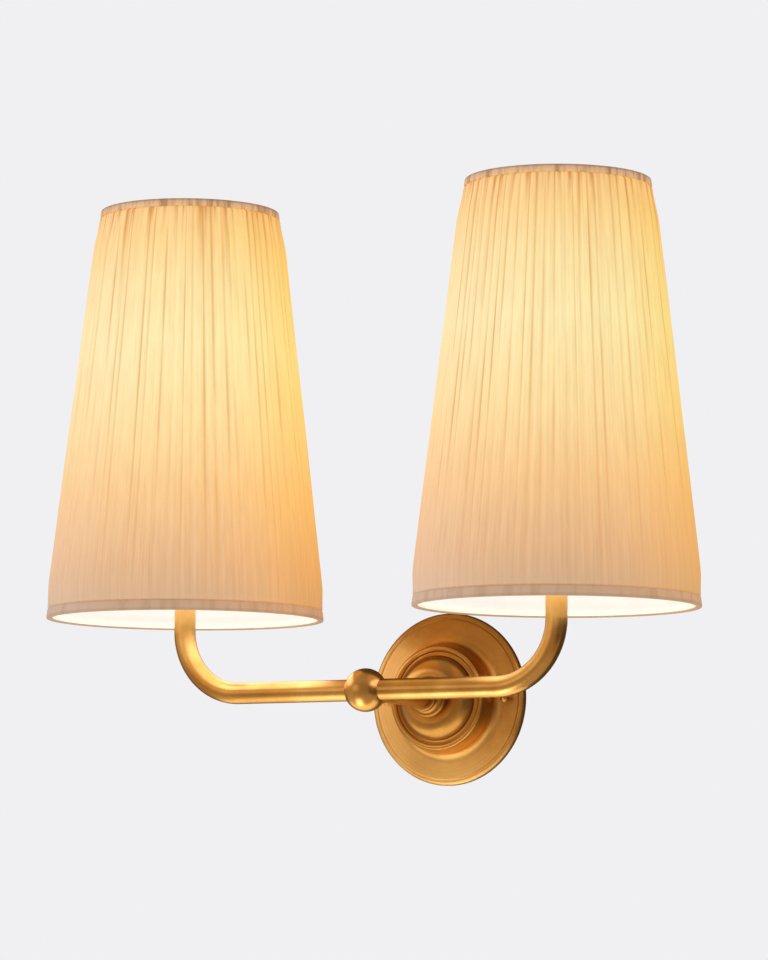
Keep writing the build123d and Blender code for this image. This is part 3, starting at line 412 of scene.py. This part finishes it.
def trim_band(side, name, node, edge_height, inward, height):
    """Folded bias band: its section swept round the liner's edge. inward is +1 at the bottom edge, where the
    band rises from the edge, and -1 at the top. Its outer face waves by a tenth of a millimetre."""
    section = trim_section(height)
    out, up = section[:, :1], section[:, 1:2]
    turn = np.linspace(0, 2 * pi, TRIM_COLUMNS, endpoint=False)[None, :]
    heights = edge_height + inward * up
    wave = TRIM_WAVE * drift(turn, 0, TRIM_SEED[name], *TRIM_WAVE_ORDERS)
    radius = liner_radius(heights) + out + wave * (out > TRIM_WAVE_FROM)
    points = polar(radius, turn, heights)
    across = np.clip(up / height, 0, 1) + 0 * turn
    inside = (out < 0) + 0 * turn
    order = slice(None, None, inward)
    piece = ring_mesh(side + name, points[order], lamp_axis(side))
    keep(piece, "across", across[order])
    keep(piece, "inside", inside[order])
    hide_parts(side + node)
    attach(piece, side + "_shade")
    return piece


# ---- materials -----------------------------------------------------------------------------------------
class Nodes:
    """Short way to wire a material's nodes."""

    def __init__(self, name):
        self.material = bpy.data.materials.new(name)
        self.material.use_nodes = True
        self.tree = self.material.node_tree
        self.shader = self.tree.nodes["Principled BSDF"]

    def add(self, kind, links=(), **values):
        """Adds a node, sets its properties and wires the (socket, source) pairs given in links."""
        node = self.tree.nodes.new(kind)
        for key, value in values.items():
            setattr(node, key, value)
        for socket, source in dict(links).items():
            self.wire(source, node.inputs[socket])
        return node

    def wire(self, source, socket):
        """Links a socket to its source, or sets it to a plain number or colour."""
        if isinstance(source, bpy.types.NodeSocket):
            self.tree.links.new(source, socket)
        elif socket.type == "RGBA":
            socket.default_value = (*source, 1)
        else:
            socket.default_value = source

    def where(self):
        """Place on the object."""
        return self.add("ShaderNodeTexCoord").outputs["Object"]

    def xyz(self):
        """Place on the object as three numbers."""
        return self.add("ShaderNodeSeparateXYZ", {0: self.where()}).outputs

    def kept(self, name):
        """Number kept for each point of the mesh."""
        return self.add("ShaderNodeAttribute", attribute_name=name).outputs["Fac"]

    def noise(self, scale, detail=3.0, vector=None, stretch=None):
        """Noise from 0 to 1; stretch multiplies the place along each axis first."""
        vector = vector or self.where()
        if stretch is not None:
            stretched = self.add("ShaderNodeVectorMath", {0: vector, 1: stretch}, operation="MULTIPLY")
            vector = stretched.outputs[0]
        made = self.add("ShaderNodeTexNoise", {"Vector": vector, "Scale": scale, "Detail": detail})
        return made.outputs["Fac"]

    def times(self, a, b):
        return self.add("ShaderNodeMath", {0: a, 1: b}, operation="MULTIPLY").outputs[0]

    def plus(self, a, b):
        return self.add("ShaderNodeMath", {0: a, 1: b}, operation="ADD").outputs[0]

    def span(self, value, low, high, to_low, to_high):
        """A value from low to high, turned into one from to_low to to_high and kept within them."""
        links = {"Value": value, "From Min": low, "From Max": high, "To Min": to_low, "To Max": to_high}
        return self.add("ShaderNodeMapRange", links).outputs["Result"]

    def blend(self, share, a, b, kind="MIX"):
        """Colour a turned towards b by a share."""
        node = self.add("ShaderNodeMix", data_type="RGBA", blend_type=kind)
        self.wire(share, node.inputs[0])
        self.wire(a, node.inputs[6])
        self.wire(b, node.inputs[7])
        return node.outputs[2]

    def ramp(self, value, stops):
        """Colour from a value through stops of (place, colour)."""
        node = self.add("ShaderNodeValToRGB", {"Fac": value})
        ramp = node.color_ramp
        while len(ramp.elements) < len(stops):
            ramp.elements.new(0.5)
        for element, (place, colour) in zip(ramp.elements, stops):
            element.position = place
            element.color = (*colour, 1)
        return node.outputs["Color"]

    def set(self, **values):
        """Sets or wires the shader's own sockets, named with underscores."""
        for key, value in values.items():
            self.wire(value, self.shader.inputs[key.replace("_", " ")])

    def bump(self, height, strength, distance):
        """Fine relief in the shading."""
        links = {"Height": height, "Strength": strength, "Distance": distance}
        self.set(Normal=self.add("ShaderNodeBump", links).outputs["Normal"])


def plain(name, colour, roughness, metallic=0.0, vary=0.12, scale=180.0):
    """Simple finish: one colour with a little uneven tone and gloss."""
    n = Nodes(name)
    tone = n.noise(scale)
    dark = tuple(c * (1 - vary) for c in colour)
    light = tuple(min(1.0, c * (1 + vary)) for c in colour)
    n.set(
        Base_Color=n.blend(tone, dark, light),
        Roughness=n.span(tone, 0.3, 0.7, roughness * 0.85, min(1.0, roughness * 1.15)),
        Metallic=metallic,
    )
    return n.material


def groove_patina_and_shade(n, radius, y, z, cloud):
    """Share of dark patina in the rosette's grooves and painted shade at its outer rim, cloudy, and lighter
    towards its lower part as painted light from below.
    """
    stops = [(place / ROSETTE_RADIUS, (dark, dark, dark)) for place, dark in ROSETTE_PATINA_AND_SHADE]
    groove = n.ramp(n.span(radius, 0.0, ROSETTE_RADIUS, 0.0, 1.0), stops)
    groove = n.times(groove, n.span(y, *STEM_TO_COLLAR, 0.0, 0.72))
    groove = n.times(groove, n.span(cloud, 0.25, 0.75, 0.7, 1.1))
    return n.times(groove, n.span(z, *GROOVE_FADE, 0.30, 1.0))


def aged_brass():
    """Hand polished brass: warm gold with browner cloudy patches, fine rub marks and uneven gloss. On the
    rosette dark patina lies in the grooves, with painted shade at its outer rim, and fine rings are left from
    spinning. Its flange is satin with a painted highlight to the lower left, and all from the boss to the
    wall has painted shade to the upper right."""
    n = Nodes("aged_brass")
    cloud = n.noise(30.0, 4.0)
    patch = n.noise(16.0, 5.0)
    speck = n.noise(420.0, 3.0)
    rub = n.noise(150.0, 4.0, stretch=(1.0, 2.5, 2.5))
    x, y, z = n.xyz()
    from_axis = n.add("ShaderNodeCombineXYZ", {"X": x, "Y": 0.0, "Z": z}).outputs[0]
    radius = n.add("ShaderNodeVectorMath", {0: from_axis}, operation="LENGTH").outputs["Value"]
    flange = n.span(y, *RINGS_TO_FLANGE, 0.0, 1.0)
    aslant = n.plus(n.plus(x, n.times(z, 1.3)), n.span(patch, 0.35, 0.65, -0.050, 0.050))
    # painted highlight: the flange turns lighter gold to its lower left
    lit_lower_left = n.times(flange, n.span(aslant, -0.075, 0.030, 1.0, 0.0))
    # painted shade: from the boss to the wall the brass turns darker to its upper right
    shaded_upper_right = n.times(n.span(y, *COLLAR_TO_BOSS, 0.0, 0.62), n.span(aslant, 0.0, 0.085, 0.0, 1.0))
    by_radius = n.add("ShaderNodeCombineXYZ", {"X": radius, "Y": 0.0, "Z": 0.0}).outputs[0]
    rings = n.span(n.noise(900.0, 3.0, vector=by_radius), 0.40, 0.62, 0.0, 0.30)
    spun = n.times(rings, n.span(y, *STEM_TO_COLLAR, 0.0, 1.0))
    colour = n.ramp(n.span(cloud, 0.30, 0.70, 0.0, 1.0), BRASS_TONES)
    colour = n.blend(n.span(patch, 0.46, 0.64, 0.0, 0.66), colour, (0.48, 0.22, 0.045))
    colour = n.blend(n.span(speck, 0.35, 0.65, 0.10, 0.0), colour, (0.50, 0.24, 0.05))
    colour = n.blend(groove_patina_and_shade(n, radius, y, z, cloud), colour, (0.25, 0.110, 0.024))
    colour = n.blend(lit_lower_left, colour, (1.00, 0.66, 0.25))
    colour = n.blend(shaded_upper_right, colour, (0.33, 0.145, 0.028))
    colour = n.blend(spun, colour, (0.56, 0.28, 0.065))
    gloss = n.plus(n.span(cloud, 0.3, 0.7, 0.34, 0.27), n.span(rub, 0.3, 0.7, -0.02, 0.02))
    gloss = n.plus(gloss, n.times(flange, 0.12))
    n.set(Base_Color=colour, Metallic=1.0, Roughness=gloss)
    n.bump(rub, 0.015, 0.0003)
    return n.material


def shade_place(n, centre):
    """Place across a shade, from -1 on its pale side to 1 on its warm side, and its level."""
    x, y, z = n.xyz()
    level = n.span(z, SHADE_LOW, SHADE_TOP, 0.0, 1.0)
    along_x = n.times(n.plus(x, -centre[0]), cos(WARM_SIDE))
    along_y = n.times(n.plus(y, -centre[1]), sin(WARM_SIDE))
    bottom_radius = LINER_BOTTOM_RADIUS + CLOTH_OVER_LINER
    radius = n.span(level, 0.0, 1.0, bottom_radius, LINER_TOP_RADIUS + CLOTH_OVER_LINER)
    side = n.add("ShaderNodeMath", {0: n.plus(along_x, along_y), 1: radius}, operation="DIVIDE").outputs[0]
    return side, level


def side_glow(n, glow, side, level):
    """Adds warmer light low on a shade's warm side, and cooler light low on its pale side."""
    low_share = n.span(level, 0.0, 0.40, 1.0, 0.0)
    warm = n.times(n.span(side, 0.05, 0.75, 0.0, 1.0), low_share)
    pale = n.times(n.span(side, -1.0, -0.5, 1.0, 0.0), low_share)
    glow = n.blend(warm, glow, (0.13, 0.05, 0.0), "ADD")
    return n.blend(pale, glow, (0.05, 0.06, 0.08), "ADD")


def glowing_cloth(name, centre):
    """Cream cloth lit from behind. The glow is painted by level, brightest round the bulb, tinted from the
    shade's pale side to its warm side, and less and warmer in the painted shade of the folds and creases.
    The base colour is painted light too: warmer on the warm side and darker in that painted shade."""
    n = Nodes(name)
    layers_and_shade = n.kept("layers_and_shade")
    side, level = shade_place(n, centre)
    streak = n.noise(420.0, 3.0, stretch=(1.0, 1.0, 0.02))
    weave = n.noise(2600.0, 2.0)
    tint = n.ramp(n.span(side, -1.0, 1.0, 0.0, 1.0), SIDE_TINT)
    glow = n.blend(1.0, n.ramp(level, CLOTH_GLOW), tint, "MULTIPLY")
    glow = side_glow(n, glow, side, level)
    # painted shade in the folds and creases: less glow and a darker colour
    doubled_and_shaded = n.span(layers_and_shade, 0.0, 1.05, 0.0, 1.0)
    glow = n.blend(doubled_and_shaded, glow, n.blend(1.0, glow, (0.74, 0.47, 0.28), "MULTIPLY"))
    cloth = n.blend(streak, (0.440, 0.350, 0.245), (0.480, 0.385, 0.275))
    # painted light: the base colour turns warmer towards the shade's warm side
    cloth = n.blend(n.span(side, 0.45, 1.0, 0.0, 0.8), cloth, (0.450, 0.325, 0.150))
    cloth = n.blend(doubled_and_shaded, cloth, (0.310, 0.175, 0.080))
    n.set(Base_Color=cloth, Roughness=0.85, Sheen_Weight=0.10, Sheen_Roughness=0.5)
    n.set(Emission_Color=glow, Emission_Strength=n.span(streak, 0.3, 0.7, 0.94, 1.06))
    n.bump(n.plus(streak, n.times(weave, 0.4)), 0.12, 0.0002)
    return n.material


def trim_cloth(name, centre):
    """Folded band of the same cloth, thicker and so less lit: painted shade at its folded edge and in a thin
    line at its open edge, darker in uneven marks, more lit towards the cloth on the top band, and lit inside."""
    n = Nodes(name)
    across = n.kept("across")
    inside = n.kept("inside")
    side, level = shade_place(n, centre)
    weave = n.noise(1500.0, 3.0, stretch=(1.0, 1.0, 1.4))
    uneven = n.noise(210.0, 3.0, stretch=(1.0, 1.0, 0.15))
    marks = n.times(n.span(uneven, 0.46, 0.66, 0.0, 1.0), n.span(level, 0.0, 1.0, 0.25, 0.75))
    # painted shade along the band's folded edge and in a thin line at its open edge
    folded_edge_shade = n.times(n.span(across, 0.0, 0.35, 1.0, 0.0), n.span(level, 0.0, 1.0, 0.45, 0.9))
    open_edge_shade = n.span(across, 0.90, 0.95, 0.0, 0.35)
    top_band = n.times(n.span(across, 0.30, 1.0, 0.0, 1.0), n.span(level, 0.4, 0.6, 0.0, 1.0))
    lit = n.times(inside, n.span(across, 0.10, 0.22, 0.0, 1.0))
    base = n.blend(weave, (0.410, 0.310, 0.225), (0.470, 0.365, 0.270))
    base = n.blend(folded_edge_shade, base, (0.300, 0.185, 0.105))
    base = n.blend(open_edge_shade, base, (0.200, 0.110, 0.055))
    base = n.blend(marks, base, (0.260, 0.140, 0.075))
    glow = side_glow(n, n.ramp(level, TRIM_GLOW), side, level)
    glow = n.blend(top_band, glow, (0.52, 0.27, 0.090))
    glow = n.blend(marks, glow, (0.14, 0.055, 0.012))
    glow = n.blend(folded_edge_shade, glow, (0.05, 0.02, 0.0))
    glow = n.blend(lit, glow, (1.00, 0.88, 0.66))
    n.set(Base_Color=base, Roughness=0.85, Sheen_Weight=0.1, Emission_Color=glow, Emission_Strength=1.0)
    n.bump(weave, 0.25, 0.0003)
    return n.material


def lit_liner():
    """White hard liner, lit by the bulb: brightest near the shade's mouth, dimmer towards its top."""
    n = Nodes("lit_liner")
    z = n.xyz()["Z"]
    tone = n.noise(90.0)
    glow = n.ramp(n.span(z, SHADE_LOW, SHADE_TOP, 0.0, 1.0), LINER_GLOW)
    base = n.blend(tone, (0.40, 0.39, 0.37), (0.44, 0.43, 0.41))
    strength = n.span(tone, 0.3, 0.7, 0.97, 1.03)
    n.set(Base_Color=base, Roughness=0.6, Emission_Color=glow, Emission_Strength=strength)
    return n.material


def lit_wire():
    """White coated wire beside the lit liner, with a painted glow for the bulb's light on it."""
    n = Nodes("white_wire")
    tone = n.noise(180.0)
    base = n.blend(tone, (0.70, 0.68, 0.63), (0.78, 0.76, 0.71))
    glow = n.blend(tone, (0.50, 0.43, 0.31), (0.56, 0.48, 0.35))
    n.set(Base_Color=base, Roughness=0.4, Emission_Color=glow, Emission_Strength=1.0)
    return n.material


def opal_glass():
    """Opal bulb, lit: warmer near its neck."""
    n = Nodes("opal_glass")
    glow = n.ramp(n.span(n.xyz()["Z"], *BULB_GLOW_HEIGHTS, 0.0, 1.0), BULB_GLOW)
    base = n.blend(n.noise(60.0), (0.80, 0.77, 0.70), (0.86, 0.83, 0.76))
    strength = n.span(n.noise(40.0), 0.3, 0.7, 0.60, 0.68)
    n.set(Base_Color=base, Roughness=0.35, Emission_Color=glow, Emission_Strength=strength)
    return n.material


finishes = {
    "antique_brass": aged_brass(),
    "zinc_steel": plain("zinc_steel", (0.55, 0.56, 0.57), 0.38, 1.0),
    "nickel_cap": plain("nickel_cap", (0.66, 0.63, 0.58), 0.25, 1.0),
    "screw_brass": plain("screw_brass", (0.75, 0.50, 0.20), 0.28, 1.0),
    "ivory_plastic": plain("ivory_plastic", (0.76, 0.68, 0.53), 0.45, 0.0, 0.05, 60.0),
    "black_holder": plain("black_holder", (0.02, 0.02, 0.022), 0.5),
    "block_plastic": plain("block_plastic", (0.62, 0.62, 0.60), 0.5, 0.0, 0.05),
    "brown_insulation": plain("brown_insulation", (0.09, 0.035, 0.015), 0.45),
    "blue_insulation": plain("blue_insulation", (0.015, 0.045, 0.22), 0.45),
    "green_yellow_insulation": plain("green_yellow_insulation", (0.20, 0.34, 0.03), 0.45),
    "opal_glass": opal_glass(),
    "filament_glass": plain("filament_glass", (0.95, 0.72, 0.30), 0.3, 0.0, 0.05),
    "white_wire": lit_wire(),
    "white_liner": lit_liner(),
}
slots_of = {part["node"]: part["material_slot"] for part in frame["record"]["subparts"]}
for node, thing in frame["nodes"].items():
    finish = finishes.get(slots_of[node])
    if finish:
        thing.data.materials.clear()
        thing.data.materials.append(finish)

# ---- the two shades' cloth -----------------------------------------------------------------------------
for side in SIDES:
    cover = gathered_cover(side)
    cover.data.materials.append(glowing_cloth(side + "_glowing_cloth", lamp_axis(side)))
    bottom = trim_band(side, "_bottom_band", "_shade_bottom_trim", SHADE_LOW, 1, BOTTOM_TRIM_HEIGHT)
    top = trim_band(side, "_top_band", "_shade_top_trim", SHADE_TOP, -1, TOP_TRIM_HEIGHT)
    band_finish = trim_cloth(side + "_trim_cloth", lamp_axis(side))
    for band in (bottom, top):
        band.data.materials.append(band_finish)

# ---- light: a pale room, two soft lamps and a small one in each shade ----------------------------------
ROOM_LIGHT = (0.62, 0.62, 0.63)
ROOM_SEEN = (0.871, 0.871, 0.888)

world = bpy.data.worlds.new("room")
bpy.context.scene.world = world
world.use_nodes = True
tree = world.node_tree
path = tree.nodes.new("ShaderNodeLightPath")
seen = path.outputs["Is Camera Ray"]
for ray in ("Is Glossy Ray", "Is Transmission Ray"):
    either = tree.nodes.new("ShaderNodeMath")
    either.operation = "MAXIMUM"
    tree.links.new(seen, either.inputs[0])
    tree.links.new(path.outputs[ray], either.inputs[1])
    seen = either.outputs[0]
mix = tree.nodes.new("ShaderNodeMix")
mix.data_type = "RGBA"
mix.inputs[6].default_value = (*ROOM_LIGHT, 1)
mix.inputs[7].default_value = (*ROOM_SEEN, 1)
tree.links.new(seen, mix.inputs[0])
tree.links.new(mix.outputs[2], tree.nodes["Background"].inputs["Color"])


def lamp(name, place, aim, size, power):
    """Soft white square lamp at a place, turned to a point and left out of reflections."""
    light = bpy.data.lights.new(name, "AREA")
    light.shape = "SQUARE"
    light.size = size
    light.energy = power
    thing = bpy.data.objects.new(name, light)
    thing.location = place
    thing.rotation_mode = "QUATERNION"
    thing.rotation_quaternion = (Vector(aim) - Vector(place)).to_track_quat("-Z", "Y")
    thing.visible_glossy = False
    bpy.context.scene.collection.objects.link(thing)


def bulb_light(side):
    """Small warm lamp just above a bulb's tip."""
    light = bpy.data.lights.new(side + "_bulb_light", "POINT")
    light.energy = 0.10
    light.color = (1.0, 0.78, 0.48)
    light.shadow_soft_size = 20 * MM
    thing = bpy.data.objects.new(side + "_bulb_light", light)
    thing.location = (*lamp_axis(side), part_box(side + "_bulb_glass")[1][2] + 12 * MM)
    bpy.context.scene.collection.objects.link(thing)


lamp("soft_left", (-1.4, -1.8, 0.9), (0, -0.06, 0.1), 1.2, 9.0)
lamp("table_glow", (0.05, -0.45, -1.0), (0, -0.11, 0), 0.75, 4.5)
for side in SIDES:
    bulb_light(side)


# ---- cards that only reflections show ------------------------------------------------------------------
def card(name, corners, colour, faces=((0, 1, 2, 3),)):
    """Plain bright surface that is seen in reflections only: a side of the room, a table or tray below the
    light, or a shade's lit inside."""
    mesh = bpy.data.meshes.new(name)
    mesh.from_pydata(corners, [], faces)
    thing = bpy.data.objects.new(name, mesh)
    bpy.context.scene.collection.objects.link(thing)
    n = Nodes(name)
    n.set(Base_Color=(0, 0, 0), Specular_IOR_Level=0.0, Roughness=1.0)
    n.set(Emission_Color=colour, Emission_Strength=1.0)
    mesh.materials.append(n.material)
    thing.visible_camera = False
    thing.visible_diffuse = False
    thing.visible_shadow = False
    thing.visible_transmission = False


def box_side(axis, at, first, second):
    """Corners of a flat card square to an axis."""
    pairs = [(first[0], second[0]), (first[1], second[0]), (first[1], second[1]), (first[0], second[1])]
    return [tuple(np.insert(pair, axis, at)) for pair in pairs]


MOUTH_RING_RISE = 16 * MM        # above the liner's lower edge
MOUTH_RING_RADII = (11 * MM, 84 * MM)
MOUTH_RING_SIDES = 48


def mouth_ring(centre):
    """Flat ring round a lamp's axis: its corners (r cos(a), r sin(a)) for both radii, and its faces."""
    turn = 2 * pi * np.arange(MOUTH_RING_SIDES) / MOUTH_RING_SIDES
    rings = [polar(radius, turn, LINER_LOW + MOUTH_RING_RISE) for radius in MOUTH_RING_RADII]
    corners = np.concatenate(rings) + np.array([centre[0], centre[1], 0])
    here = np.arange(MOUTH_RING_SIDES)
    after = (here + 1) % MOUTH_RING_SIDES
    faces = np.stack([here, after, after + MOUTH_RING_SIDES, here + MOUTH_RING_SIDES], axis=-1)
    return corners.tolist(), faces.tolist()


for side in SIDES:
    corners, faces = mouth_ring(lamp_axis(side))
    card(side + "_shade_light", corners, (2.3, 2.1, 2.2), faces)

# name, the axis that the card is square to, its place along it, its reach along the other two, colour
CARDS = [
    ("front_low", 1, -2.4, (-2.2, 2.2), (-1.1, -0.25), (0.34, 0.25, 0.17)),
    ("front_left", 1, -2.4, (-2.2, -0.5), (-0.25, 1.0), (0.92, 0.73, 0.52)),
    ("front_right", 1, -2.4, (-0.5, 2.2), (-0.25, 1.0), (0.36, 0.27, 0.18)),
    ("front_high", 1, -2.4, (-2.2, 2.2), (1.0, 1.6), (0.34, 0.26, 0.18)),
    ("room_above", 2, 1.6, (-2.2, 2.2), (-2.4, 0.03), (0.50, 0.40, 0.30)),
    ("room_left", 0, -2.2, (-2.4, 0.0), (-1.1, 1.6), (0.50, 0.40, 0.30)),
    ("room_right", 0, 2.2, (-2.4, 0.0), (-1.1, 1.6), (0.12, 0.09, 0.06)),
    ("room_below", 2, -1.1, (-2.2, 2.2), (-2.4, 1.0), (0.46, 0.35, 0.24)),
    ("bright_below", 2, -1.09, (-0.67, -0.1), (-1.00, 0.50), (3.1, 3.0, 2.9)),
    ("soft_below", 2, -1.09, (-1.15, -0.68), (-1.00, 0.50), (0.50, 0.40, 0.27)),
    ("tray_below", 2, -0.13, (-0.24, 0.12), (-0.115, -0.012), (1.3, 1.15, 0.9)),
    ("room_wall", 1, 0.03, (-2.2, 2.2), (-0.38, 1.6), (0.09, 0.065, 0.045)),
]
for name, axis, at, first, second, colour in CARDS:
    card(name, box_side(axis, at, first, second), colour)

# ---- camera --------------------------------------------------------------------------------------------
camera = bpy.data.objects.new("camera", bpy.data.cameras.new("camera"))
camera.data.lens = CAMERA_LENS
camera.data.sensor_width = 36.0
turn = CAMERA_SIDE + CAMERA_YAW
forward = Vector((-sin(turn) * cos(CAMERA_PITCH), cos(turn) * cos(CAMERA_PITCH), sin(CAMERA_PITCH)))
flat_right = Vector((cos(turn), sin(turn), 0))
flat_up = flat_right.cross(forward)
right = flat_right * cos(CAMERA_ROLL) + flat_up * sin(CAMERA_ROLL)
up = flat_up * cos(CAMERA_ROLL) - flat_right * sin(CAMERA_ROLL)
place = Vector((CAMERA_DISTANCE * sin(CAMERA_SIDE), -CAMERA_DISTANCE * cos(CAMERA_SIDE), CAMERA_HEIGHT))
axes = Matrix((right, up, -forward)).transposed()
camera.matrix_world = Matrix.Translation(place) @ axes.to_4x4()
camera.data.clip_end = 50.0
bpy.context.scene.collection.objects.link(camera)
bpy.context.scene.camera = camera
bpy.context.scene.view_settings.view_transform = "Standard"
